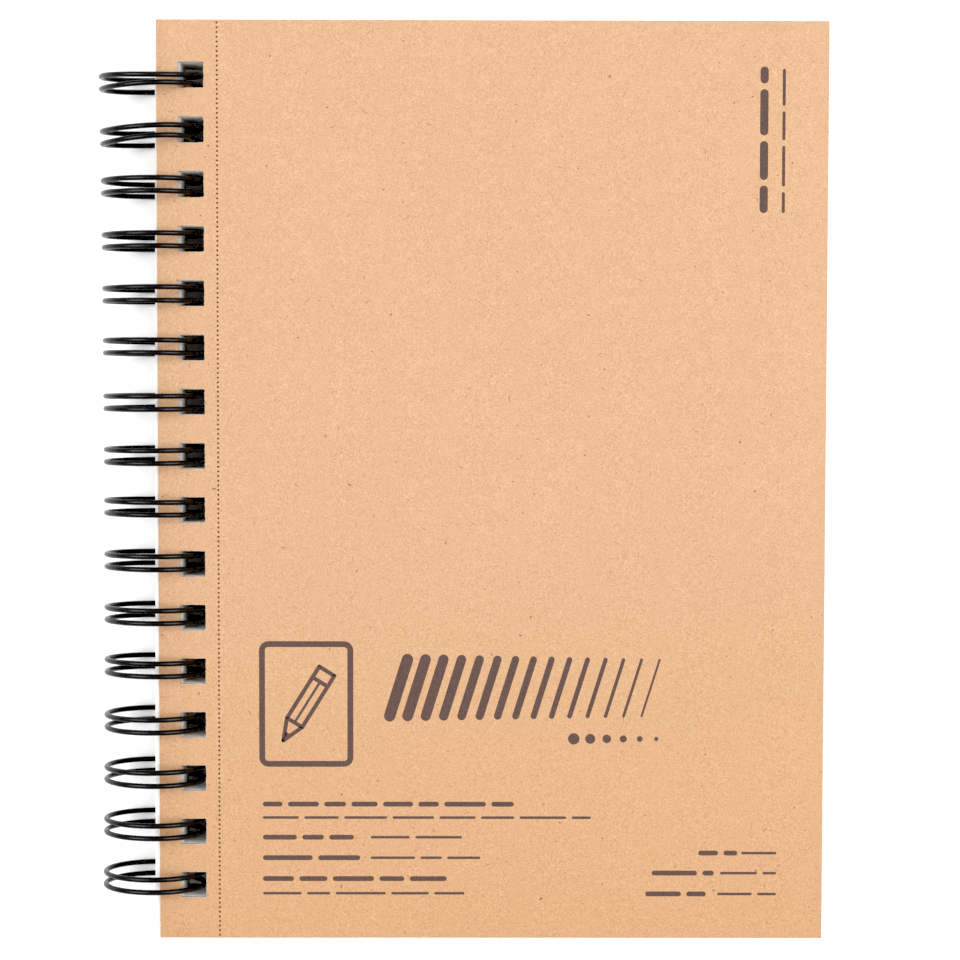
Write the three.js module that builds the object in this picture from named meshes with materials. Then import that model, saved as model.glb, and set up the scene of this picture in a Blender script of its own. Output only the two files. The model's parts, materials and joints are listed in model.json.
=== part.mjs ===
// A twin-loop wire-bound sketchbook lying closed on a flat surface.
//
// Frame: +Y runs along the spine, +Z is up, and +X points from the spine to the fore edge.
// The origin is the centre of the bounding box's underside. Lengths are in millimetres.
//
// The leaves turn about the centre line of the wire loops. That line is the origin of the
// "book" group, which is tipped so that the loops and the back board's fore edge both rest
// on the surface, because the loops stand proud of the boards.

import * as THREE from 'three';

// Loops of the binding
const LOOP_COUNT = 16;
const LOOP_PITCH = 12.7; // two loops to the inch
const LOOP_RADIUS = 11.4; // to the middle of the wire
const WIRE_RADIUS = 0.62;
const BASE_SPACING = 3.2; // between the two strands of one loop, where they leave the base
const TIP_SPACING = 2.8; // and at the tip
const BASE_CORNER_RADIUS = 1.8;
const SEAM_ANGLE = 286; // degrees from +X towards +Z, where the strands leave the base
const TIP_CLEARANCE = 0.2; // tip to base line, along the loop
const WIRE_END_LENGTH = 0.6;

// Boards and sheets
const BOOK_HEIGHT = 216; // along the spine
const COVER_WIDTH = 156.9;
const COVER_START = 1.6; // spine-side edge, from the loops' centre line
const FRONT_COVER_THICKNESS = 0.7;
const BACK_COVER_THICKNESS = 1.5;
const SHEET_COUNT = 100;
const SHEETS_PER_PACKET = 5;
const PACKET_PITCH = 0.6;
const LEAF_GAP = 0.03; // air between neighbouring packets and boards
const SHEET_START = 1;
const SHEET_FORE_INSET = 2; // sheets stop short of the boards at the fore edge
const SHEET_END_INSET = 0.2; // and by this much at the head and the tail
const BLOCK_TOP = 5.9; // upper face of the front cover, above the loops' centre line

// Punched holes
const HOLE_SIZE = 6;
const HOLE_CENTRE = COVER_START + 8;

// Smoothness of the wire
const WIRE_SIDES = 6;
const LOOP_STEP = 20; // degrees
const BEND_STEPS = 3;

const outerRadius = LOOP_RADIUS + WIRE_RADIUS;
const packetCount = SHEET_COUNT / SHEETS_PER_PACKET;
const sheetsTop = BLOCK_TOP - FRONT_COVER_THICKNESS;
const sheetsBottom = sheetsTop - packetCount * PACKET_PITCH;
const blockBottom = sheetsBottom - BACK_COVER_THICKNESS;
const coverEnd = COVER_START + COVER_WIDTH;

// The block tips until the back board's lower fore edge touches the surface that the loops stand on.
const foreEdgeDistance = Math.hypot(coverEnd, blockBottom);
const tilt = Math.asin(outerRadius / foreEdgeDistance) - Math.atan2(-blockBottom, coverEnd);

const kraft = () => new THREE.MeshStandardMaterial({ color: 0xe8bd93, roughness: 0.85, metalness: 0 });
const greyBoard = () => new THREE.MeshStandardMaterial({ color: 0xb9a88f, roughness: 0.9, metalness: 0 });
const paper = () => new THREE.MeshStandardMaterial({ color: 0xf3efe4, roughness: 0.9, metalness: 0 });
const blackWire = () => new THREE.MeshStandardMaterial({ color: 0x141416, roughness: 0.35, metalness: 0.6 });

// Y of the middle of a loop, counted from the head of the book.
function loopY(index) {
  return LOOP_PITCH * ((LOOP_COUNT - 1) / 2 - index);
}

// A flat leaf with the row of square holes, its lower face at z.
function leafMesh(name, material, xStart, xEnd, length, z, thickness) {
  const outline = new THREE.Shape();
  outline.moveTo(xStart, -length / 2);
  outline.lineTo(xEnd, -length / 2);
  outline.lineTo(xEnd, length / 2);
  outline.lineTo(xStart, length / 2);
  outline.closePath();
  const half = HOLE_SIZE / 2;
  for (let i = 0; i < LOOP_COUNT; i++) {
    const y = loopY(i);
    const hole = new THREE.Path();
    hole.moveTo(HOLE_CENTRE - half, y - half);
    hole.lineTo(HOLE_CENTRE - half, y + half);
    hole.lineTo(HOLE_CENTRE + half, y + half);
    hole.lineTo(HOLE_CENTRE + half, y - half);
    hole.closePath();
    outline.holes.push(hole);
  }
  const geometry = new THREE.ExtrudeGeometry(outline, { depth: thickness, bevelEnabled: false });
  const mesh = new THREE.Mesh(geometry, material);
  mesh.name = name;
  mesh.position.z = z;
  return mesh;
}

function frontCover() {
  const z = sheetsTop + LEAF_GAP / 2;
  const thickness = FRONT_COVER_THICKNESS - LEAF_GAP / 2;
  return leafMesh('front_cover', kraft(), COVER_START, coverEnd, BOOK_HEIGHT, z, thickness);
}

function backCover() {
  const thickness = BACK_COVER_THICKNESS - LEAF_GAP / 2;
  return leafMesh('back_cover', greyBoard(), COVER_START, coverEnd, BOOK_HEIGHT, blockBottom, thickness);
}

// Packets of sheets from the top of the block down, named by the sheets they hold.
function sheetPackets() {
  const length = BOOK_HEIGHT - 2 * SHEET_END_INSET;
  const packets = [];
  for (let i = 0; i < packetCount; i++) {
    const first = i * SHEETS_PER_PACKET + 1;
    const last = first + SHEETS_PER_PACKET - 1;
    const name = `sheets_${String(first).padStart(3, '0')}_${String(last).padStart(3, '0')}`;
    const z = sheetsTop - (i + 1) * PACKET_PITCH + LEAF_GAP / 2;
    const thickness = PACKET_PITCH - LEAF_GAP;
    packets.push(leafMesh(name, paper(), SHEET_START, coverEnd - SHEET_FORE_INSET, length, z, thickness));
  }
  return packets;
}

// A point of the wire: s is the length along the loop from the base line, y the place along the spine.
function wirePoint(s, y) {
  const angle = THREE.MathUtils.degToRad(SEAM_ANGLE) + s / LOOP_RADIUS;
  return new THREE.Vector3(LOOP_RADIUS * Math.cos(angle), y, LOOP_RADIUS * Math.sin(angle));
}

// The centre line of the one wire: up a strand, round the tip, down the next strand and along the base.
function wirePoints() {
  const baseHalf = BASE_SPACING / 2;
  const tipHalf = TIP_SPACING / 2;
  const strandStart = BASE_CORNER_RADIUS;
  const strandEnd = 2 * Math.PI * LOOP_RADIUS - TIP_CLEARANCE - tipHalf;
  const steps = Math.round((strandEnd - strandStart) / LOOP_RADIUS / THREE.MathUtils.degToRad(LOOP_STEP));
  const points = [];
  for (let i = 0; i < LOOP_COUNT; i++) {
    const y = loopY(i);
    const strandPoint = (k, side) => {
      const s = THREE.MathUtils.lerp(strandStart, strandEnd, k / steps);
      return wirePoint(s, y + side * THREE.MathUtils.lerp(baseHalf, tipHalf, k / steps));
    };
    if (i === 0) points.push(wirePoint(WIRE_END_LENGTH, y + baseHalf));
    for (let k = 0; k <= steps; k++) points.push(strandPoint(k, 1));
    for (let k = 1; k < 2 * BEND_STEPS; k++) {
      const a = (Math.PI * k) / (2 * BEND_STEPS);
      points.push(wirePoint(strandEnd + tipHalf * Math.sin(a), y + tipHalf * Math.cos(a)));
    }
    for (let k = steps; k >= 0; k--) points.push(strandPoint(k, -1));
    if (i === LOOP_COUNT - 1) {
      points.push(wirePoint(WIRE_END_LENGTH, y - baseHalf));
      continue;
    }
    const cornerStart = y - baseHalf - BASE_CORNER_RADIUS;
    const cornerEnd = loopY(i + 1) + baseHalf + BASE_CORNER_RADIUS;
    for (let k = 1; k <= BEND_STEPS; k++) {
      const a = (Math.PI / 2) * (k / BEND_STEPS);
      const s = BASE_CORNER_RADIUS * (1 - Math.sin(a));
      points.push(wirePoint(s, cornerStart + BASE_CORNER_RADIUS * Math.cos(a)));
    }
    for (let k = 0; k < BEND_STEPS; k++) {
      const a = (Math.PI / 2) * (k / BEND_STEPS);
      const s = BASE_CORNER_RADIUS * (1 - Math.cos(a));
      points.push(wirePoint(s, cornerEnd - BASE_CORNER_RADIUS * Math.sin(a)));
    }
  }
  return points;
}

// A path of straight pieces between points. Equal steps of u go from one point to the next.
class PointPath extends THREE.Curve {
  constructor(points) {
    super();
    this.points = points;
  }

  getPoint(t, target = new THREE.Vector3()) {
    const place = t * (this.points.length - 1);
    const first = Math.min(Math.floor(place), this.points.length - 2);
    return target.lerpVectors(this.points[first], this.points[first + 1], place - first);
  }

  getUtoTmapping(u) {
    return u;
  }
}

function bindingWire() {
  const points = wirePoints();
  const section = new THREE.Shape();
  for (let k = 0; k < WIRE_SIDES; k++) {
    const a = (2 * Math.PI * k) / WIRE_SIDES;
    const corner = [WIRE_RADIUS * Math.cos(a), WIRE_RADIUS * Math.sin(a)];
    if (k === 0) section.moveTo(...corner);
    else section.lineTo(...corner);
  }
  section.closePath();
  const extrudePath = new PointPath(points);
  const geometry = new THREE.ExtrudeGeometry(section, { steps: points.length - 1, extrudePath });
  const mesh = new THREE.Mesh(geometry, blackWire());
  mesh.name = 'binding_wire';
  return mesh;
}

const book = new THREE.Group();
book.add(bindingWire(), backCover(), ...sheetPackets(), frontCover());
book.rotation.y = tilt;

book.position.z = outerRadius;
const reach = new THREE.Box3().setFromObject(book, true);
book.position.x = -(reach.min.x + reach.max.x) / 2;

const sketchbook = new THREE.Group();
sketchbook.add(book);

export default sketchbook;
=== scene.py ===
"""A wire-bound sketchbook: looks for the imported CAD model.

Leaves, print and wire are made in the book's own frame, in millimetres: X runs from the hinge line
(the middle of the wire loops) towards the fore edge, Y along the spine towards the head, Z out of
the front cover. BOOK places that frame in the row frame.
"""

import json
import math
import random

import bmesh
import bpy
from mathutils import Matrix, Vector
from mathutils.geometry import delaunay_2d_cdt


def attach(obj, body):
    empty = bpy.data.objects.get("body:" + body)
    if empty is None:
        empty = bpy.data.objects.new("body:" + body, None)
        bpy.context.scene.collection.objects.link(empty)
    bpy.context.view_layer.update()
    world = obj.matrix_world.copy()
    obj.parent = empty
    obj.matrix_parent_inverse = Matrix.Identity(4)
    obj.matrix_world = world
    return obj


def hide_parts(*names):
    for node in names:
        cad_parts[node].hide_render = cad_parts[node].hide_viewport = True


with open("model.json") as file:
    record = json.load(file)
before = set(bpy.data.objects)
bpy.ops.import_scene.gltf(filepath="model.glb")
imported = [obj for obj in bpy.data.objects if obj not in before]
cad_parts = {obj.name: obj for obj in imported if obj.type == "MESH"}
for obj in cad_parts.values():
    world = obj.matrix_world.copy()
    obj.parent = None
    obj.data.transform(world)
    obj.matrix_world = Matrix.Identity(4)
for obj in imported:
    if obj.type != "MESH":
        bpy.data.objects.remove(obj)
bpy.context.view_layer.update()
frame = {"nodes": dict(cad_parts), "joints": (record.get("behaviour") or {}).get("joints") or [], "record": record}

rng = random.Random(16)

# ---------------------------------------------------------------- sizes, in millimetres

MM = 0.001
LOOP_COUNT = 16
LOOP_PITCH = 12.7
LOOP_RADIUS = 11.4
WIRE_RADIUS = 0.62
BASE_SPACING = 3.2  # between the two strands of a loop, where they leave the base
TIP_SPACING = 2.8
BASE_CORNER_RADIUS = 1.8
SEAM_ANGLE = 286
TIP_CLEARANCE = 0.2
WIRE_END_LENGTH = 0.6

BOOK_HEIGHT = 216
COVER_START = 1.6
COVER_END = 158.5
BLOCK_TOP = 5.9
FRONT_COVER_THICKNESS = 0.68
BACK_COVER_THICKNESS = 1.48
SHEETS_TOP = 5.18
SHEETS_BOTTOM = -6.78
SHEET_COUNT = 100
SHEETS_PER_PACKET = 5
SHEET_THICKNESS = 0.104
SHEET_START = 0.95
SHEET_END = 156.5
SHEET_HEIGHT = 215.6
SPINE_SLANT = 0.0042  # the sheets' spine edge was cut askew, and shows more towards the tail

HOLE_SIZE = 6.0
HOLE_CENTRE = 9.6
SHEET_HOLE_CENTRE = 9.9  # the sheets were punched a little further in than the covers
# The first loops have worn the upper sheets' holes this much longer, towards the tail
WORN_HOLES = (0.6, 0.75)
PERFORATION_X = 15.75
PERFORATION_PITCH = 1.1
PERFORATION_MARGIN = 1.0  # length at the head and the tail together that has no cuts
PERFORATION_RADIUS = 0.21
SHEET_PERFORATION_RADIUS = 0.16
FORE_LIFT = 0.45  # how far the loose fore edges spread at the top of the block
LIFT_FALL = 1.5  # power by which that spread falls from the top sheet down
BEND_START = 20.0
LEAF_GAP = 0.03  # between the lowest sheet and the back cover
COVER_ROUNDING = 0.12  # of the covers' rims
FRONT_RAGGEDNESS = 0.07  # how far the punched holes' outlines wander
BACK_RAGGEDNESS = 0.05
SHEET_SLIDE = (0.13, 0.08)  # how far a sheet may lie out of line in X and in Y
SHEET_TURN = 0.0003  # and how far it may be turned, in radians
GAP_WEIGHTS = (0.25, 1.0)  # range of the uneven gaps between sheets

# ---------------------------------------------------------------- the book's frame


def block_tilt():
    """The angle by which the leaves lean down towards the fore edge."""
    faces = frame["nodes"]["front_cover"].data.polygons
    top = max((f for f in faces if f.normal.z > 0), key=lambda f: f.area)
    return math.atan2(top.normal.x, top.normal.z)


hinge = Vector(frame["joints"][0]["pos_m"])
BOOK = Matrix.Translation(hinge) @ Matrix.Rotation(block_tilt(), 4, "Y") @ Matrix.Scale(MM, 4)


def loop_y(index):
    return LOOP_PITCH * ((LOOP_COUNT - 1) / 2 - index)


def bend(x, lift):
    """Height gained at x by a leaf whose fore edge is lifted by `lift`."""
    reach = max(0.0, (x - BEND_START) / (COVER_END - BEND_START))
    return lift * reach * reach


# ---------------------------------------------------------------- node helpers


def new_material(name, roughness, specular=0.5):
    material = bpy.data.materials.new(name)
    material.use_nodes = True
    shader = material.node_tree.nodes["Principled BSDF"]
    shader.inputs["Roughness"].default_value = roughness
    shader.inputs["Specular IOR Level"].default_value = specular
    return material, material.node_tree, shader


def millimetres(tree, rotation=0.0, stretch=(1, 1, 1)):
    """Object coordinates in millimetres, turned about Z and then stretched."""
    place = tree.nodes.new("ShaderNodeTexCoord")
    turn = tree.nodes.new("ShaderNodeMapping")
    turn.inputs["Rotation"].default_value = (0, 0, rotation)
    turn.inputs["Scale"].default_value = (1 / MM, 1 / MM, 1 / MM)
    scale = tree.nodes.new("ShaderNodeMapping")
    scale.inputs["Scale"].default_value = stretch
    tree.links.new(place.outputs["Object"], turn.inputs["Vector"])
    tree.links.new(turn.outputs["Vector"], scale.inputs["Vector"])
    return scale.outputs["Vector"]


def noise(tree, vector, per_mm, detail, roughness, seed):
    """Noise with `per_mm` features to the millimetre; each seed gives another pattern."""
    node = tree.nodes.new("ShaderNodeTexNoise")
    node.noise_dimensions = "4D"
    node.inputs["W"].default_value = seed
    node.inputs["Scale"].default_value = per_mm
    node.inputs["Detail"].default_value = detail
    node.inputs["Roughness"].default_value = roughness
    tree.links.new(vector, node.inputs["Vector"])
    return node.outputs["Fac"]


def ramp(tree, value, low, high, out_low=0.0, out_high=1.0):
    """Maps the range from low to high onto the range from out_low to out_high, and clamps it."""
    node = tree.nodes.new("ShaderNodeMapRange")
    node.inputs["From Min"].default_value = low
    node.inputs["From Max"].default_value = high
    node.inputs["To Min"].default_value = out_low
    node.inputs["To Max"].default_value = out_high
    tree.links.new(value, node.inputs["Value"])
    return node.outputs["Result"]


def mix(tree, factor, colour_a, colour_b, blend="MIX"):
    """Mixes two colours, each a socket or a plain colour, by a socket or a number."""
    node = tree.nodes.new("ShaderNodeMix")
    node.data_type = "RGBA"
    node.blend_type = blend
    for value, name in ((factor, "Factor"), (colour_a, "A"), (colour_b, "B")):
        socket = next(s for s in node.inputs
                      if s.name == name and (name == "Factor" or s.type == "RGBA"))
        if isinstance(value, bpy.types.NodeSocket):
            tree.links.new(value, socket)
        elif name == "Factor":
            socket.default_value = value
        else:
            socket.default_value = (*value, 1)
    return next(s for s in node.outputs if s.type == "RGBA")


def maths(tree, operation, *values):
    node = tree.nodes.new("ShaderNodeMath")
    node.operation = operation
    for socket, value in zip(node.inputs, values):
        if isinstance(value, bpy.types.NodeSocket):
            tree.links.new(value, socket)
        else:
            socket.default_value = value
    return node.outputs["Value"]


def mix_values(tree, factor, a, b):
    node = tree.nodes.new("ShaderNodeMix")
    node.inputs["Factor"].default_value = factor
    tree.links.new(a, node.inputs["A"])
    tree.links.new(b, node.inputs["B"])
    return node.outputs["Result"]


def axis_of(tree, vector, axis):
    node = tree.nodes.new("ShaderNodeSeparateXYZ")
    tree.links.new(vector, node.inputs["Vector"])
    return node.outputs[axis]


def add_bump(tree, shader, height, depth):
    """Relief of `depth` millimetres between height 0 and 1."""
    node = tree.nodes.new("ShaderNodeBump")
    node.inputs["Distance"].default_value = depth * MM
    node.inputs["Strength"].default_value = 1.0
    tree.links.new(height, node.inputs["Height"])
    tree.links.new(node.outputs["Normal"], shader.inputs["Normal"])


def fibres(tree, angle, length, width, low, high, seed):
    """Sparse short strokes that lie along `angle`, as a mask; they thin out as `low` rises."""
    vector = millimetres(tree, angle, (1 / length, 1 / width, 1 / width))
    return ramp(tree, noise(tree, vector, 1.0, 1.0, 0.4, seed), low, high)


def crossed_fibres(tree, angles, length, width, low, high, seed, seed_step):
    """Fibres that lie along several angles, each angle with a seed of its own, as one mask."""
    masks = [fibres(tree, angle, length, width, low, high, seed + seed_step * angle)
             for angle in angles]
    total = masks[0]
    for mask in masks[1:]:
        total = maths(tree, "MAXIMUM", total, mask)
    return total


def scaled(colour, factor):
    return tuple(c * factor for c in colour)


# ---------------------------------------------------------------- colours, linear

KRAFT = (0.460, 0.274, 0.159)
KRAFT_DARK = (0.28, 0.142, 0.060)
KRAFT_LIGHT = (0.585, 0.400, 0.265)
# Painted shade: the card is darkened towards the tail, as if less light fell there
KRAFT_TAIL_SHADE = (0.965, 0.915, 0.83)  # what the card's colour is multiplied by at the tail
KRAFT_EDGE = (0.50, 0.40, 0.32)
KRAFT_EDGE_DARK = (0.37, 0.28, 0.22)
# Painted shade: the cover's perforation pits are dark brown, standing in for the shade in the cuts
KRAFT_PIT_SHADE = (0.210, 0.085, 0.026)
KRAFT_PIT_SHADE_DARK = (0.130, 0.052, 0.016)
BOARD = (0.27, 0.222, 0.172)
BOARD_DARK = (0.14, 0.108, 0.078)
BOARD_LIGHT = (0.42, 0.365, 0.30)
BOARD_EDGE = (0.46, 0.39, 0.31)
BOARD_EDGE_DARK = (0.30, 0.24, 0.18)
PAPER_DARK = (0.484, 0.470, 0.443)
PAPER = (0.498, 0.485, 0.459)
PAPER_LIGHT = (0.515, 0.503, 0.479)
PAPER_HAIR = (0.37, 0.35, 0.31)
# Painted light: the stub by the hinge line is paler, to brighten the strip that the cover shades
PAPER_STUB_PAINTED_LIGHT = (0.80, 0.79, 0.765)
# Painted light: the paper's cut sides are far paler than its face, to brighten shaded hole walls and block sides
PAPER_EDGE_PAINTED_LIGHT = (0.93, 0.915, 0.88)
PAPER_EDGE_PAINTED_LIGHT_DARK = (0.79, 0.77, 0.73)
# Painted shade: the sheets' perforation pits are dark, standing in for the shade in the cuts
PAPER_PIT_SHADE = (0.30, 0.285, 0.26)
PAPER_PIT_SHADE_DARK = (0.20, 0.19, 0.17)
WIRE_BLACK = (0.0070, 0.0065, 0.0072)
WIRE_RUBBED = (0.0130, 0.0120, 0.0130)
INK = (0.052, 0.031, 0.027)
INK_THIN = (0.110, 0.068, 0.057)
INK_FIBRE = (0.20, 0.125, 0.075)
TABLE_DARK = (0.93, 0.93, 0.93)
TABLE_LIGHT = (0.945, 0.945, 0.945)

WIRE_IOR = 1.34
# The painted light on the stub fades out between these two distances
STUB_FADE_START = 2.2  # how far from the hinge line the sheets' paler stub starts to fade
STUB_FADE_END = 5.0

# ---------------------------------------------------------------- materials


def card_colour(tree, base, dark, light, flecks):
    """Card made of short fibres: cloudy and strongly grained, with dark and light strokes.

    `flecks` is the strength of the sparse hairs and specks.
    """
    plain = millimetres(tree)
    cloud = ramp(tree, noise(tree, plain, 0.03, 3.0, 0.6, 3.0), 0.3, 0.7)
    mottle = ramp(tree, noise(tree, plain, 0.55, 2.0, 0.6, 5.0), 0.3, 0.7)
    grain = ramp(tree, noise(tree, plain, 3.0, 2.0, 0.8, 7.0), 0.28, 0.72)
    colour = mix(tree, cloud, scaled(base, 0.975), scaled(base, 1.02))
    colour = mix(tree, mottle, mix(tree, 0.07, colour, dark), mix(tree, 0.05, colour, light))
    colour = mix(tree, grain, mix(tree, 0.57, colour, dark), mix(tree, 0.53, colour, light))
    dark_strokes = crossed_fibres(tree, (0.3, 1.2, 2.1, 2.8), 1.5, 0.20, 0.66, 0.78, 11, 5)
    light_strokes = crossed_fibres(tree, (0.0, 0.8, 1.7, 2.4), 1.7, 0.20, 0.66, 0.78, 41, 7)
    colour = mix(tree, maths(tree, "MULTIPLY", dark_strokes, 0.5), colour, dark)
    colour = mix(tree, maths(tree, "MULTIPLY", light_strokes, 0.55), colour, light)
    hairs = crossed_fibres(tree, (0.5, 1.6, 2.6), 2.2, 0.26, 0.755, 0.80, 71, 9)
    colour = mix(tree, maths(tree, "MULTIPLY", hairs, flecks), colour, scaled(dark, 0.5))
    speck = ramp(tree, noise(tree, plain, 1.1, 0.0, 0.5, 19.0), 0.82, 0.86)
    return mix(tree, maths(tree, "MULTIPLY", speck, flecks), colour, scaled(dark, 0.4))


def card_relief(tree, grain_per_mm=2.2):
    """Height of the card's felted grain with longer strokes across it."""
    plain = millimetres(tree)
    felt = noise(tree, plain, grain_per_mm, 3.0, 0.65, 7.0)
    strokes = noise(tree, millimetres(tree, 0.9, (0.6, 3.4, 3.4)), 1.0, 2.0, 0.5, 23.0)
    return mix_values(tree, 0.45, felt, strokes)


def kraft_material():
    """Kraft card, a little browner and darker towards the tail: painted shade."""
    material, tree, shader = new_material("kraft_card", 0.82, 0.25)
    colour = card_colour(tree, KRAFT, KRAFT_DARK, KRAFT_LIGHT, flecks=0.68)
    # Painted shade: the card darkens towards the tail, as if less light fell there
    tail = ramp(tree, axis_of(tree, millimetres(tree), "Y"), 0.0, -BOOK_HEIGHT / 2)
    colour = mix(tree, tail, colour, KRAFT_TAIL_SHADE, "MULTIPLY")
    tree.links.new(colour, shader.inputs["Base Color"])
    tree.links.new(ramp(tree, card_relief(tree), 0.2, 0.8, 0.74, 0.9), shader.inputs["Roughness"])
    add_bump(tree, shader, card_relief(tree), 0.035)
    return material


def cut_edge_material(name, base, dark):
    """The cut side of card: thin plies, paler than the face, with torn specks. Its colours also carry painted
    light on the paper's cut sides and painted shade in the perforation pits.
    """
    material, tree, shader = new_material(name, 0.9, 0.2)
    plies = noise(tree, millimetres(tree, 0, (0.25, 0.25, 9.0)), 1.0, 2.0, 0.6, 5.0)
    torn = noise(tree, millimetres(tree), 1.8, 2.0, 0.6, 9.0)
    colour = mix(tree, ramp(tree, plies, 0.35, 0.65), dark, base)
    colour = mix(tree, ramp(tree, torn, 0.6, 0.8, 0.0, 0.35), colour, scaled(dark, 0.6))
    tree.links.new(colour, shader.inputs["Base Color"])
    add_bump(tree, shader, mix_values(tree, 0.5, plies, torn), 0.05)
    return material


def grey_board_material():
    """Chipboard: the same fibres as the kraft card, greyer and coarser."""
    material, tree, shader = new_material("grey_board", 0.86, 0.22)
    colour = card_colour(tree, BOARD, BOARD_DARK, BOARD_LIGHT, flecks=0.7)
    tree.links.new(colour, shader.inputs["Base Color"])
    tree.links.new(ramp(tree, card_relief(tree), 0.2, 0.8, 0.78, 0.93), shader.inputs["Roughness"])
    add_bump(tree, shader, card_relief(tree, 1.6), 0.05)
    return material


def paper_material():
    """Uncoated drawing paper: warm white, a little cloudy, with a fine tooth, and a paler stub that is painted
    light.
    """
    material, tree, shader = new_material("drawing_paper", 0.88, 0.3)
    plain = millimetres(tree)
    cloud = ramp(tree, noise(tree, plain, 0.12, 4.0, 0.6, 2.0), 0.3, 0.7)
    formation = ramp(tree, noise(tree, plain, 0.9, 3.0, 0.65, 4.0), 0.3, 0.7)
    colour = mix(tree, cloud, PAPER_DARK, PAPER)
    colour = mix(tree, formation, colour, PAPER_LIGHT)
    hairs = fibres(tree, 0.5, 1.4, 0.12, 0.70, 0.8, 61.0)
    colour = mix(tree, maths(tree, "MULTIPLY", hairs, 0.25), colour, PAPER_HAIR)
    spine = hinge.x / MM
    across = axis_of(tree, plain, "X")
    # Painted light: the stub near the hinge line is made paler, where the cover's shadow falls
    stub = ramp(tree, across, spine + STUB_FADE_START, spine + STUB_FADE_END, 1.0, 0.0)
    colour = mix(tree, stub, colour, PAPER_STUB_PAINTED_LIGHT)
    tree.links.new(colour, shader.inputs["Base Color"])
    tooth = noise(tree, plain, 3.4, 3.0, 0.7, 8.0)
    tree.links.new(ramp(tree, tooth, 0.2, 0.8, 0.8, 0.95), shader.inputs["Roughness"])
    add_bump(tree, shader, tooth, 0.022)
    return material


def wire_material():
    """Steel with a satin black coat: nearly black, slightly uneven gloss, rubbed a little."""
    material, tree, shader = new_material("black_wire_coat", 0.25)
    shader.inputs["IOR"].default_value = WIRE_IOR
    plain = millimetres(tree)
    rub = ramp(tree, noise(tree, plain, 0.35, 3.0, 0.6, 6.0), 0.60, 0.75)
    colour = mix(tree, maths(tree, "MULTIPLY", rub, 0.5), WIRE_BLACK, WIRE_RUBBED)
    tree.links.new(colour, shader.inputs["Base Color"])
    uneven = noise(tree, plain, 1.2, 2.0, 0.5, 12.0)
    tree.links.new(ramp(tree, uneven, 0.3, 0.7, 0.22, 0.34), shader.inputs["Roughness"])
    add_bump(tree, shader, noise(tree, plain, 2.0, 2.0, 0.5, 15.0), 0.0035)
    return material


def ink_material():
    """Brown-black print that sinks into the card, with card fibres showing through in places."""
    material, tree, shader = new_material("cover_ink", 0.7, 0.25)
    plain = millimetres(tree)
    grain = ramp(tree, noise(tree, plain, 2.6, 2.0, 0.7, 7.0), 0.25, 0.75)
    colour = mix(tree, grain, INK, INK_THIN)
    pale = fibres(tree, 0.8, 1.2, 0.16, 0.66, 0.80, 33.0)
    colour = mix(tree, maths(tree, "MULTIPLY", pale, 0.35), colour, INK_FIBRE)
    tree.links.new(colour, shader.inputs["Base Color"])
    add_bump(tree, shader, noise(tree, plain, 2.2, 3.0, 0.65, 7.0), 0.03)
    return material


def floor_material():
    material, tree, shader = new_material("white_table", 0.75, 0.2)
    soft = ramp(tree, noise(tree, millimetres(tree), 0.02, 2.0, 0.5, 1.0), 0.3, 0.7)
    colour = mix(tree, soft, TABLE_DARK, TABLE_LIGHT)
    tree.links.new(colour, shader.inputs["Base Color"])
    return material


kraft = kraft_material()
kraft_edge = cut_edge_material("kraft_cut_edge", KRAFT_EDGE, KRAFT_EDGE_DARK)
# Painted shade in the cover's perforation pits
kraft_cut = cut_edge_material("kraft_perforation_shade", KRAFT_PIT_SHADE, KRAFT_PIT_SHADE_DARK)
board = grey_board_material()
board_edge = cut_edge_material("board_cut_edge", BOARD_EDGE, BOARD_EDGE_DARK)
paper = paper_material()
# Painted light on the paper's cut sides, which lie in shade
paper_edge_painted_light = cut_edge_material("paper_cut_edge", PAPER_EDGE_PAINTED_LIGHT, PAPER_EDGE_PAINTED_LIGHT_DARK)
# Painted shade in the sheets' perforation pits
paper_cut = cut_edge_material("paper_perforation_shade", PAPER_PIT_SHADE, PAPER_PIT_SHADE_DARK)
wire_coat = wire_material()
ink = ink_material()

# ---------------------------------------------------------------- flat leaves with holes

FACE, EDGE, CUT = 0, 1, 2  # material of a leaf's faces, of its cut sides and of its perforation
CORNER_RADIUS = 0.22
CORNER_STEPS = 3
HOLE_CORNER_RADIUS = 0.3
HOLE_CORNER_STEPS = 2
HOLE_SIDE_PIECES = 14  # into which a ragged hole's sides are divided
HOLE_POINTS = 4 * (HOLE_CORNER_STEPS + HOLE_SIDE_PIECES)
HOLE_MARGIN = 1.0  # beyond which a point can't lie in a ragged hole
LONG_SIDE = 2.0  # sides that are longer than this are divided
CUT_SIDES = 8
CUT_INSET = 0.4  # share of a rim's rounding that widens a perforation cut
PIT_DEPTH = 0.35  # share of the leaf's thickness
RIM_DEPTH = 0.6  # share of the rounding by which a rim falls away
COLUMN_COUNT = 12  # of points inside the leaf, which let it bend
ROW_COUNT = 9
WELD_DISTANCE = 1e-5


def arc(cx, cy, radius, start, end, steps):
    angles = (math.radians(start + (end - start) * k / steps) for k in range(steps + 1))
    return [(cx + radius * math.cos(a), cy + radius * math.sin(a)) for a in angles]


def rounded_rectangle(x0, x1, y0, y1, radius, steps, columns=()):
    """Corners joined anticlockwise, with points at `columns` along the two edges that run in X."""
    loop = arc(x0 + radius, y0 + radius, radius, 180, 270, steps)
    loop += [(x, y0) for x in columns]
    loop += arc(x1 - radius, y0 + radius, radius, 270, 360, steps)
    loop += arc(x1 - radius, y1 - radius, radius, 0, 90, steps)
    loop += [(x, y1) for x in reversed(columns)]
    loop += arc(x0 + radius, y1 - radius, radius, 90, 180, steps)
    return loop


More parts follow.
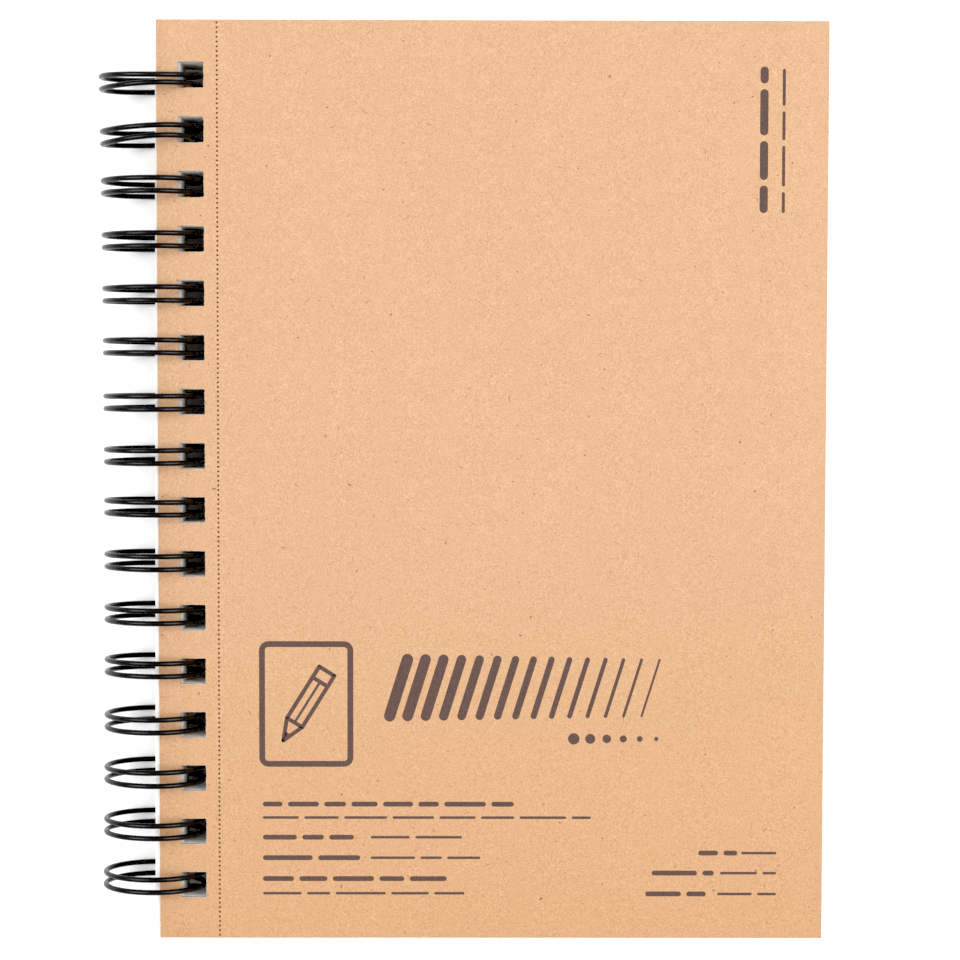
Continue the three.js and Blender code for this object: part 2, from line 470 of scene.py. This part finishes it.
def divided(loop, count):
    """The loop with its long sides cut into `count` pieces."""
    points = []
    for a, b in zip(loop, loop[1:] + loop[:1]):
        points.append(a)
        if math.dist(a, b) > LONG_SIDE:
            points += [(a[0] + (b[0] - a[0]) * k / count, a[1] + (b[1] - a[1]) * k / count)
                       for k in range(1, count)]
    return points


def inside(loop, x, y):
    """Whether a point lies inside a closed loop, by counting crossings to its right."""
    odd = False
    for (ax, ay), (bx, by) in zip(loop, loop[1:] + loop[:1]):
        if (ay > y) != (by > y) and x < ax + (bx - ax) * (y - ay) / (by - ay):
            odd = not odd
    return odd


class Leaf:
    """The flat shape of a leaf: outline, punched holes and perforation, cut into triangles.

    `perforation` is the radius of its cuts, `worn` is how much longer the first holes are, and
    `ragged` is how far the points of a hole's outline wander.
    """

    def __init__(self, x0, x1, height, hole_centre=HOLE_CENTRE, rounding=0.0, perforation=0.0,
                 worn=(), ragged=0.0):
        self.size = (x0, x1, height)
        self.hole_centre = hole_centre
        self.holes = [(loop_y(i) - (worn[i] if i < len(worn) else 0.0), loop_y(i))
                      for i in range(LOOP_COUNT)]
        self.rounding = rounding
        self.perforation = perforation
        self.rags = [[(rng.uniform(-ragged, ragged), rng.uniform(-ragged, ragged))
                      for _ in range(HOLE_POINTS)]
                     for _ in range(LOOP_COUNT if ragged else 0)]
        self.columns = [BEND_START + (x1 - BEND_START) * k / COLUMN_COUNT
                        for k in range(COLUMN_COUNT)]
        self.full = self.loops(0.0)
        self.inner = self.loops(rounding) if rounding else self.full
        self.points, self.triangles, self.rims = self.triangulate(self.inner)

    def loops(self, inset):
        """The outline, the holes and the cuts, each as a closed loop of points."""
        x0, x1, height = self.size
        edge = height / 2 - inset
        found = [rounded_rectangle(x0 + inset, x1 - inset, -edge, edge,
                                   CORNER_RADIUS, CORNER_STEPS, self.columns)]
        half = HOLE_SIZE / 2 + inset
        for i, (low, high) in enumerate(self.holes):
            hole = rounded_rectangle(self.hole_centre - half, self.hole_centre + half,
                                     low - half, high + half,
                                     HOLE_CORNER_RADIUS + inset, HOLE_CORNER_STEPS)
            if self.rags:
                hole = [(x + dx, y + dy) for (x, y), (dx, dy)
                        in zip(divided(hole, HOLE_SIDE_PIECES), self.rags[i])]
            found.append(hole)
        if self.perforation:
            radius = self.perforation + CUT_INSET * inset
            found += [arc(PERFORATION_X, y, radius, 0, 360 - 360 / CUT_SIDES, CUT_SIDES - 1)
                      for y in self.perforation_y()]
        return found

    def perforation_y(self):
        """Middles of the small perforation cuts, from the tail to the head."""
        count = int((self.size[2] - PERFORATION_MARGIN) / PERFORATION_PITCH)
        return [PERFORATION_PITCH * (i - count / 2) for i in range(count + 1)]

    def in_hole(self, x, y):
        """Whether a triangle's centre lies in a punched hole or a cut of the inset shape."""
        half = HOLE_SIZE / 2 + HOLE_MARGIN
        if abs(x - self.hole_centre) < half:
            return any(inside(hole, x, y) for (low, high), hole in zip(self.holes, self.inner[1:])
                       if low - half < y < high + half)
        radius = self.perforation + CUT_INSET * self.rounding
        if not self.perforation or abs(x - PERFORATION_X) > radius:
            return False
        return any(math.hypot(x - PERFORATION_X, y - cut) < radius for cut in self.perforation_y())

    def triangulate(self, loops):
        """The points, the triangles between them, and the points of each loop."""
        points, edges, rims = [], [], []
        for loop in loops:
            first = len(points)
            points += loop
            ids = list(range(first, len(points)))
            rims.append(ids)
            edges += list(zip(ids, ids[1:] + ids[:1]))
        for x in self.columns:
            points += [(x, self.size[2] * ((j + 0.5) / ROW_COUNT - 0.5)) for j in range(ROW_COUNT)]
        _, _, found, origins, _, _ = delaunay_2d_cdt(
            [Vector(p) for p in points], edges, [], 0, WELD_DISTANCE)
        source = [ids[0] if ids else None for ids in origins]
        triangles = []
        for face in found:
            corners = [source[v] for v in face]
            x = sum(points[v][0] for v in corners) / 3
            y = sum(points[v][1] for v in corners) / 3
            if not self.in_hole(x, y):
                triangles.append(corners)
        return points, triangles, rims

    def solid(self, z, thickness, lift=0.0, shift=(0.0, 0.0), turn=0.0, slant=0.0):
        """Vertices, faces and materials of one leaf with its lower face at z.

        The leaf is turned about the middle of its holes and then shifted, its spine edge is
        slanted, and its perforation cuts are blind pits.
        """
        vertices, faces, sides = [], [], []
        rotation = Matrix.Rotation(turn, 2)

        def place(points, height):
            first = len(vertices)
            for x, y in points:
                skew = slant * y if x < COVER_START else 0.0
                at = rotation @ Vector((x - HOLE_CENTRE + skew, y))
                px, py = at.x + HOLE_CENTRE + shift[0], at.y + shift[1]
                vertices.append((px, py, z + height + bend(px, lift)))
            return first

        top = place(self.points, thickness)
        bottom = place(self.points, 0.0)
        for a, b, c in self.triangles:
            faces.append((top + a, top + b, top + c))
            faces.append((bottom + a, bottom + c, bottom + b))
        sides += [FACE] * len(faces)
        for rim, loop in zip(self.rims, self.full):
            count = len(rim)
            rings = [[top + v for v in rim], [bottom + v for v in rim]]
            pits = len(rim) == CUT_SIDES
            depth = PIT_DEPTH * thickness if pits else RIM_DEPTH * self.rounding
            for height in ((thickness - depth, depth) if depth else ()):
                first = place(loop, height)
                rings.insert(-1, list(range(first, first + count)))
            for number, (upper, lower) in enumerate(zip(rings, rings[1:])):
                if pits and number == 1:
                    faces += [tuple(upper), tuple(reversed(lower))]
                    sides += [CUT, CUT]
                    continue
                for k in range(count):
                    n = (k + 1) % count
                    faces.append((upper[k], lower[k], lower[n], upper[n]))
                sides += [CUT if pits else EDGE] * count
        return vertices, faces, sides


def build(name, parts, materials, crease=30.0):
    """One object from parts given in the book's frame.

    Each part holds its vertices, its faces and the material index of each face.
    """
    vertices, faces, slots = [], [], []
    for part_vertices, part_faces, part_slots in parts:
        first = len(vertices)
        vertices += [BOOK @ Vector(v) for v in part_vertices]
        faces += [tuple(first + v for v in face) for face in part_faces]
        slots += part_slots
    mesh = bpy.data.meshes.new(name)
    mesh.from_pydata(vertices, [], faces)
    for material in materials:
        mesh.materials.append(material)
    mesh.polygons.foreach_set("material_index", slots)
    mesh.shade_smooth()
    mesh.set_sharp_from_angle(angle=math.radians(crease))
    mesh.validate()
    mesh.update()
    piece = bpy.data.objects.new(name, mesh)
    bpy.context.collection.objects.link(piece)
    return piece


def face_outwards(piece):
    """Makes every face of a closed piece point outwards."""
    work = bmesh.new()
    work.from_mesh(piece.data)
    bmesh.ops.recalc_face_normals(work, faces=work.faces)
    work.to_mesh(piece.data)
    work.free()
    return piece


# The body that each CAD node rides on
bodies = {node: body for body, nodes in frame["record"]["behaviour"]["bodies"].items()
          for node in nodes}


def finish_piece(piece, node):
    face_outwards(piece)
    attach(piece, bodies[node])
    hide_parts(node)
    return piece


def make_front_cover():
    leaf = Leaf(COVER_START, COVER_END, BOOK_HEIGHT, rounding=COVER_ROUNDING,
                perforation=PERFORATION_RADIUS, ragged=FRONT_RAGGEDNESS)
    solid = leaf.solid(BLOCK_TOP - FRONT_COVER_THICKNESS, FRONT_COVER_THICKNESS, FORE_LIFT)
    piece = build("kraft_front_cover", [solid], [kraft, kraft_edge, kraft_cut])
    return finish_piece(piece, "front_cover")


def make_back_cover():
    leaf = Leaf(COVER_START, COVER_END, BOOK_HEIGHT, rounding=COVER_ROUNDING,
                ragged=BACK_RAGGEDNESS)
    solid = leaf.solid(SHEETS_BOTTOM - LEAF_GAP - BACK_COVER_THICKNESS, BACK_COVER_THICKNESS)
    piece = build("grey_board_back_cover", [solid], [board, board_edge])
    return finish_piece(piece, "back_cover")


def sheet_heights():
    """Lower face of each sheet, from the top one down, with small uneven gaps between them."""
    spare = SHEETS_TOP - SHEETS_BOTTOM - SHEET_COUNT * SHEET_THICKNESS
    weights = [rng.uniform(*GAP_WEIGHTS) for _ in range(SHEET_COUNT)]
    total = sum(weights)
    z, heights = SHEETS_TOP, []
    for weight in weights:
        gap = spare * weight / total
        z -= SHEET_THICKNESS + gap
        heights.append(z + 0.5 * gap)
    return heights


def sheet_leaf(upper, cut):
    return Leaf(SHEET_START, SHEET_END, SHEET_HEIGHT, SHEET_HOLE_CENTRE,
                perforation=SHEET_PERFORATION_RADIUS if cut else 0.0,
                worn=WORN_HOLES if upper else ())


def make_sheets():
    """The sheets in packets; only those that show their face at some pose are perforated."""
    half = SHEET_COUNT // 2
    shown = {0, half - 1, half}
    leaves = {(upper, cut): sheet_leaf(upper, cut)
              for upper in (True, False) for cut in (True, False)}
    slide_x, slide_y = SHEET_SLIDE
    heights = sheet_heights()
    for start in range(0, SHEET_COUNT, SHEETS_PER_PACKET):
        parts = []
        for i in range(start, start + SHEETS_PER_PACKET):
            shift = (rng.uniform(-slide_x, slide_x), rng.uniform(-slide_y, slide_y))
            turn = rng.uniform(-SHEET_TURN, SHEET_TURN)
            lift = FORE_LIFT * (1 - (i + 1) / SHEET_COUNT) ** LIFT_FALL
            leaf = leaves[i < half, i in shown]
            parts.append(leaf.solid(heights[i], SHEET_THICKNESS, lift, shift, turn, SPINE_SLANT))
        node = f"sheets_{start + 1:03d}_{start + SHEETS_PER_PACKET:03d}"
        piece = build(node + "_leaves", parts, [paper, paper_edge_painted_light, paper_cut])
        finish_piece(piece, node)


# ---------------------------------------------------------------- binding wire

STEP = math.radians(6)
SIDES = 14
TIP_STEPS = 12
BEND_STEPS = 6
WIRE_CREASE = 60
# How far each loop leans towards the head, from the head down. The first two have been knocked
# towards the tail, and the loops at the tail lean a little towards the head.
LEANS = (-1.75, -1.85, -0.5, -0.5, -0.3, 0.25, -0.2, -0.1,
         0.65, 0.65, 0.7, 1.0, 0.45, 0.65, 0.95, 0.9)
LEAN_ALL_ROUND = 0.3  # share of a loop's lean that isn't gathered at its peak
LEAN_PEAK = (120, 170)  # angle round the loop, and reach to either side, in degrees
LEAN_START = 8.0  # length along the loop over which the lean sets in
ENTRY_SHIFTS = (0.0, 0.95)  # how far the first loops move to the head where they enter the cover
ENTRY_PEAK = (65, 100)  # angle round the loop, and reach to either side, in degrees
PINCHES = (0.65, 0.35)  # how far their strands are squeezed together there
PINCH_SPREAD = 0.06  # how far the other loops' strands stray there
BOW_IN = 0.1  # the loops' outer side bows towards the leaves by this much halfway along the spine
BOW_OUT = 0.65  # and comes out again by this much at BOW_REACH from there
BOW_REACH = 95
END_DEPTH = 0.35  # length of the wire's rounded ends, in wire radii
END_RINGS = ((0.0, 0.55), (END_DEPTH, 0.9))  # how far in each ring lies and how wide it is


def hump(angle, middle, reach):
    """1 at the angle `middle`, fading to 0 at `reach` degrees from it round the loop."""
    away = abs((math.degrees(angle) - middle + 180) % 360 - 180)
    return 0.5 * (1 + math.cos(math.pi * min(1.0, away / reach)))


def wire_point(s, y, lean=0.0, entry=0.0):
    """A point s millimetres along a loop from the base line, moved by its lean and its entry."""
    angle = math.radians(SEAM_ANGLE) + s / LOOP_RADIUS
    share = LEAN_ALL_ROUND + (1 - LEAN_ALL_ROUND) * hump(angle, *LEAN_PEAK)
    y += lean * share * min(1.0, s / LEAN_START) + entry * hump(angle, *ENTRY_PEAK)
    bow = (BOW_IN - BOW_OUT * (y / BOW_REACH) ** 2) * (1 - math.cos(angle)) / 2
    return Vector((LOOP_RADIUS * math.cos(angle) + bow, y, LOOP_RADIUS * math.sin(angle)))


def wire_path():
    """The wire's centre line: up a strand, round the tip, down the next strand, along the base."""
    base_half, tip_half = BASE_SPACING / 2, TIP_SPACING / 2
    start = BASE_CORNER_RADIUS
    end = 2 * math.pi * LOOP_RADIUS - TIP_CLEARANCE - tip_half
    steps = round((end - start) / LOOP_RADIUS / STEP)
    path = []
    for i in range(LOOP_COUNT):
        y = loop_y(i)
        lean = LEANS[i]
        entry = ENTRY_SHIFTS[i] if i < len(ENTRY_SHIFTS) else 0.0
        pinch = PINCHES[i] if i < len(PINCHES) else rng.uniform(-PINCH_SPREAD, PINCH_SPREAD)
        if i == 0:
            path.append(wire_point(WIRE_END_LENGTH, y + base_half))
        for side, order in ((1, range(steps + 1)), (-1, range(steps, -1, -1))):
            for k in order:
                share = k / steps
                half = base_half + (tip_half - base_half) * share
                path.append(wire_point(start + (end - start) * share, y + side * half, lean,
                                       entry - side * pinch))
            if side == 1:
                for k in range(1, TIP_STEPS):
                    a = math.pi * k / TIP_STEPS
                    path.append(wire_point(end + tip_half * math.sin(a),
                                           y + tip_half * math.cos(a), lean))
        if i == LOOP_COUNT - 1:
            path.append(wire_point(WIRE_END_LENGTH, y - base_half))
            continue
        left = y - base_half - BASE_CORNER_RADIUS
        right = loop_y(i + 1) + base_half + BASE_CORNER_RADIUS
        for k in range(1, BEND_STEPS + 1):
            a = math.pi / 2 * k / BEND_STEPS
            s = BASE_CORNER_RADIUS * (1 - math.sin(a))
            path.append(wire_point(s, left + BASE_CORNER_RADIUS * math.cos(a)))
        for k in range(BEND_STEPS):
            a = math.pi / 2 * k / BEND_STEPS
            s = BASE_CORNER_RADIUS * (1 - math.cos(a))
            path.append(wire_point(s, right - BASE_CORNER_RADIUS * math.sin(a)))
    return path


def tube(path, radius, sides):
    """A closed tube along the path.

    The direction away from the hinge line keeps its rings from twisting.
    """
    vertices, faces = [], []

    def ring(point, tangent, size):
        outward = Vector((point.x, 0, point.z)).normalized()
        outward = (outward - outward.dot(tangent) * tangent).normalized()
        sideways = tangent.cross(outward)
        for k in range(sides):
            a = 2 * math.pi * k / sides
            vertices.append(point + size * (math.cos(a) * outward + math.sin(a) * sideways))

    def tangent_at(i):
        return (path[min(i + 1, len(path) - 1)] - path[max(i - 1, 0)]).normalized()

    def end_ring(i, sign, depth, share):
        tangent = tangent_at(i)
        ring(path[i] + sign * (END_DEPTH - depth) * radius * tangent, tangent, radius * share)

    for depth, share in END_RINGS:
        end_ring(0, -1, depth, share)
    for i, point in enumerate(path):
        ring(point, tangent_at(i), radius)
    for depth, share in reversed(END_RINGS):
        end_ring(len(path) - 1, 1, depth, share)
    rings = len(vertices) // sides
    for i in range(rings - 1):
        for k in range(sides):
            n = (k + 1) % sides
            faces.append((i * sides + k, i * sides + n, (i + 1) * sides + n, (i + 1) * sides + k))
    faces.append(tuple(range(sides)))
    faces.append(tuple((rings - 1) * sides + k for k in range(sides)))
    return vertices, faces


def make_wire():
    vertices, faces = tube(wire_path(), WIRE_RADIUS, SIDES)
    parts = [(vertices, faces, [0] * len(faces))]
    piece = build("twin_loop_wire", parts, [wire_coat], crease=WIRE_CREASE)
    return finish_piece(piece, "binding_wire")


# ---------------------------------------------------------------- generic print on the cover

INK_TOP = 0.018  # how far the ink stands above the cover
INK_DEPTH = 0.05  # and how far it reaches into it
END_STEPS = 8  # of a stroke's round end
FRAME_BOX = (25.2, 47.4, -67.1, -37.3)  # left, right, bottom, top
FRAME_STROKE = 1.37
FRAME_CORNER_RADIUS = 2.2
FRAME_CORNER_STEPS = 6
PENCIL_LEAN = -32  # degrees
SCALE_BOX = (56.0, 115.5, -55.0, -41.6)
SCALE_COUNT = 15
SCALE_SLANT = 4.2  # how far the strokes' tops lie to the right of their bottoms
SCALE_STROKES = (2.7, 0.5)  # width of the first stroke and of the last
DOT_COUNT = 6
DOT_START = (99.5, -60.4)
DOT_PITCH = 3.9
DOT_RADIUS = 1.35
DOT_SHRINK = 0.17  # from each dot to the next
DOT_SIDES = 24
BAR_LENGTHS = (4.5, 12.0)
BAR_GAP = 1.3
SHORTEST_BAR = 2.5
BOLD, FINE = 1.15, 0.6  # heights of the bars
PRINT_LEFT = 26.0
PRINT_RIGHT = 147.6


def print_height(x):
    return BLOCK_TOP + bend(x, FORE_LIFT)


def print_solid(outline, inner=None):
    """A thin printed shape in one outline, or a closed band between two of equal length."""
    count = len(outline)
    rims = [outline] if inner is None else [outline, inner]
    vertices = []
    for height in (INK_TOP, -INK_DEPTH):
        for rim in rims:
            vertices += [(x, y, print_height(x) + height) for x, y in rim]
    step = count * len(rims)
    faces = []
    if inner is None:
        faces.append(tuple(range(count)))
        faces.append(tuple(step + k for k in reversed(range(count))))
    for k in range(count):
        n = (k + 1) % count
        faces.append((k, step + k, step + n, n))
        if inner is not None:
            faces.append((count + k, count + n, step + count + n, step + count + k))
            faces.append((k, n, count + n, count + k))
            faces.append((step + k, step + count + k, step + count + n, step + n))
    return vertices, faces, [0] * len(faces)


def stroke(points, width):
    """A straight stroke with round ends between two points."""
    a, b = (Vector(p) for p in points)
    angle = math.degrees(math.atan2(b.y - a.y, b.x - a.x))
    outline = arc(a.x, a.y, width / 2, angle + 90, angle + 270, END_STEPS)
    outline += arc(b.x, b.y, width / 2, angle - 90, angle + 90, END_STEPS)
    return print_solid(outline)


def outline_frame():
    x0, x1, y0, y1 = FRAME_BOX
    t = FRAME_STROKE
    outer = rounded_rectangle(x0, x1, y0, y1, FRAME_CORNER_RADIUS, FRAME_CORNER_STEPS)
    inner = rounded_rectangle(x0 + t, x1 - t, y0 + t, y1 - t,
                              FRAME_CORNER_RADIUS - t, FRAME_CORNER_STEPS)
    return [print_solid(outer, inner)]


def pencil_symbol():
    """A leaning pencil in outline: shaft, band near its top, and a filled point."""
    x0, x1, y0, y1 = FRAME_BOX
    centre = Vector(((x0 + x1) / 2, (y0 + y1) / 2))
    lean = Matrix.Rotation(math.radians(PENCIL_LEAN), 2)
    half, top, shoulder, point = 2.1, 9.2, -5.2, -10.2
    band = top - 3
    lead_half, lead_length = 0.9, 2.1
    line, middle_line = 0.95, 0.57

    def at(x, y):
        return tuple(centre + lean @ Vector((x, y)))

    lines = [
        ((-half, top), (half, top)),
        ((-half, top), (-half, shoulder)), ((half, top), (half, shoulder)),
        ((-half, band), (half, band)), ((-half, shoulder), (half, shoulder)),
        ((-half, shoulder), (0, point)), ((half, shoulder), (0, point)),
        ((0, band), (0, shoulder)),
    ]
    parts = [stroke((at(*a), at(*b)), line if a[0] else middle_line) for a, b in lines]
    lead = [at(-lead_half, point + lead_length), at(0, point), at(lead_half, point + lead_length)]
    parts.append(print_solid(lead))
    return parts


def tone_scale():
    """A row of slanted strokes that thin out to the right, like a test of pencil tones."""
    parts = []
    left, right, bottom, top = SCALE_BOX
    thick, thin = SCALE_STROKES
    for i in range(SCALE_COUNT):
        share = i / (SCALE_COUNT - 1)
        x = left + (right - left) * share
        width = thick - (thick - thin) * share
        parts.append(stroke(((x, bottom), (x + SCALE_SLANT, top)), width))
    return parts


def dot_row():
    """A row of dots that shrink to the right."""
    parts = []
    x, y = DOT_START
    for i in range(DOT_COUNT):
        radius = DOT_RADIUS - DOT_SHRINK * i
        last = 360 - 360 / DOT_SIDES
        parts.append(print_solid(arc(x + DOT_PITCH * i, y, radius, 0, last, DOT_SIDES - 1)))
    return parts


def plain_bars(x, y, length, height, along=Vector((1, 0))):
    """Plain bars of uneven length that stand for a line of small print, from (x, y) onwards."""
    parts, place = [], 0.0
    while place < length - SHORTEST_BAR:
        bar = min(rng.uniform(*BAR_LENGTHS), length - place)
        a = Vector((x, y)) + along * (place + height / 2)
        b = Vector((x, y)) + along * (place + bar - height / 2)
        parts.append(stroke((tuple(a), tuple(b)), height))
        place += bar + BAR_GAP
    return parts


def small_print():
    """The lines at the lower left, those at the lower right, and the two that run up the side."""
    parts = []
    lines = [(-76.0, 61.5, BOLD), (-79.2, 78.0, FINE), (-83.9, 23.0, BOLD), (-88.8, 23.0, BOLD),
             (-93.8, 43.5, BOLD), (-97.3, 49.5, FINE)]
    for y, length, height in lines:
        parts += plain_bars(PRINT_LEFT, y, length, height)
    second_column = PRINT_LEFT + 25.5
    for y, length in ((-83.9, 24.0), (-88.8, 26.0)):
        parts += plain_bars(second_column, y, length, FINE)
    bold_share, fine_share = 0.5, 0.45
    for y, length in ((-87.6, 18.5), (-92.4, 29.5), (-97.4, 31.0)):
        fine_length = length * fine_share
        parts += plain_bars(PRINT_RIGHT - length, y, length * bold_share, BOLD)
        parts += plain_bars(PRINT_RIGHT - fine_length, y, fine_length, FINE)
    side_start, side_length = 63.4, 34.0
    for x, height in ((143.4, 1.9), (148.0, 0.7)):
        parts += plain_bars(x, side_start, side_length, height, Vector((0, 1)))
    return parts


def make_print():
    groups = {
        "print_frame": outline_frame() + pencil_symbol(),
        "print_tone_scale": tone_scale() + dot_row(),
        "print_plain_bars": small_print(),
    }
    for name, parts in groups.items():
        piece = face_outwards(build(name, parts, [ink]))
        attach(piece, "front_cover")


# ---------------------------------------------------------------- stage, light, camera, in metres

FLOOR_RADIUS = 6.0
FLOOR_SIDES = 128
FLOOR_Z = -0.0002
ROOM_LIGHT = 0.5
SOFTBOXES = ((-1, 58, 16.0), (1, 45, 17.6))  # side, angle above the table in degrees, power
SOFTBOX_SIZE = 0.8
SOFTBOX_DISTANCE = 1.27
SOFTBOX_Y = 0.12  # towards the head of the book
BLACK_LEVEL = 0.022
SENSOR_WIDTH = 36
LENS = 82.5
CAMERA_PLACE = (0.0858, 0.0253, 0.5326)  # X is counted from the hinge line
CAMERA_TURN = (-2.712, 0.943, 0.106)  # degrees


def make_floor():
    bpy.ops.mesh.primitive_circle_add(vertices=FLOOR_SIDES, radius=FLOOR_RADIUS, fill_type="NGON",
                                      location=(0, 0, FLOOR_Z))
    floor = bpy.context.object
    floor.name = "white_table_top"
    floor.data.materials.append(floor_material())


def make_lights():
    """Two softboxes in a white room, a high one at the spine and a lower one at the fore edge."""
    world = bpy.context.scene.world or bpy.data.worlds.new("world")
    bpy.context.scene.world = world
    world.use_nodes = True
    background = world.node_tree.nodes["Background"]
    background.inputs["Color"].default_value = (1.0, 1.0, 1.0, 1)
    background.inputs["Strength"].default_value = ROOM_LIGHT
    for side, height, energy in SOFTBOXES:
        softbox = bpy.data.lights.new("side_softbox", "AREA")
        softbox.shape = "SQUARE"
        softbox.size = SOFTBOX_SIZE
        softbox.energy = energy
        lamp = bpy.data.objects.new("side_softbox", softbox)
        angle = math.radians(height)
        lamp.location = (SOFTBOX_DISTANCE * side * math.cos(angle), SOFTBOX_Y,
                         SOFTBOX_DISTANCE * math.sin(angle))
        lamp.rotation_euler = (0, side * (math.pi / 2 - angle), 0)
        bpy.context.collection.objects.link(lamp)


def set_tone():
    """Plain tone with slightly deepened blacks, as in a levels-adjusted product picture."""
    view = bpy.context.scene.view_settings
    view.view_transform = "Standard"
    view.use_curve_mapping = True
    view.curve_mapping.black_level = (BLACK_LEVEL, BLACK_LEVEL, BLACK_LEVEL)
    view.curve_mapping.update()


def make_camera():
    """Looks almost straight down from about half a metre, tipped a little towards the tail."""
    data = bpy.data.cameras.new("camera")
    data.sensor_width = SENSOR_WIDTH
    data.lens = LENS
    camera = bpy.data.objects.new("camera", data)
    x, y, z = CAMERA_PLACE
    camera.location = (hinge.x + x, y, z)
    camera.rotation_euler = [math.radians(turn) for turn in CAMERA_TURN]
    bpy.context.collection.objects.link(camera)
    bpy.context.scene.camera = camera


set_tone()
make_camera()
make_front_cover()
make_back_cover()
make_sheets()
make_wire()
make_print()
make_floor()
make_lights()
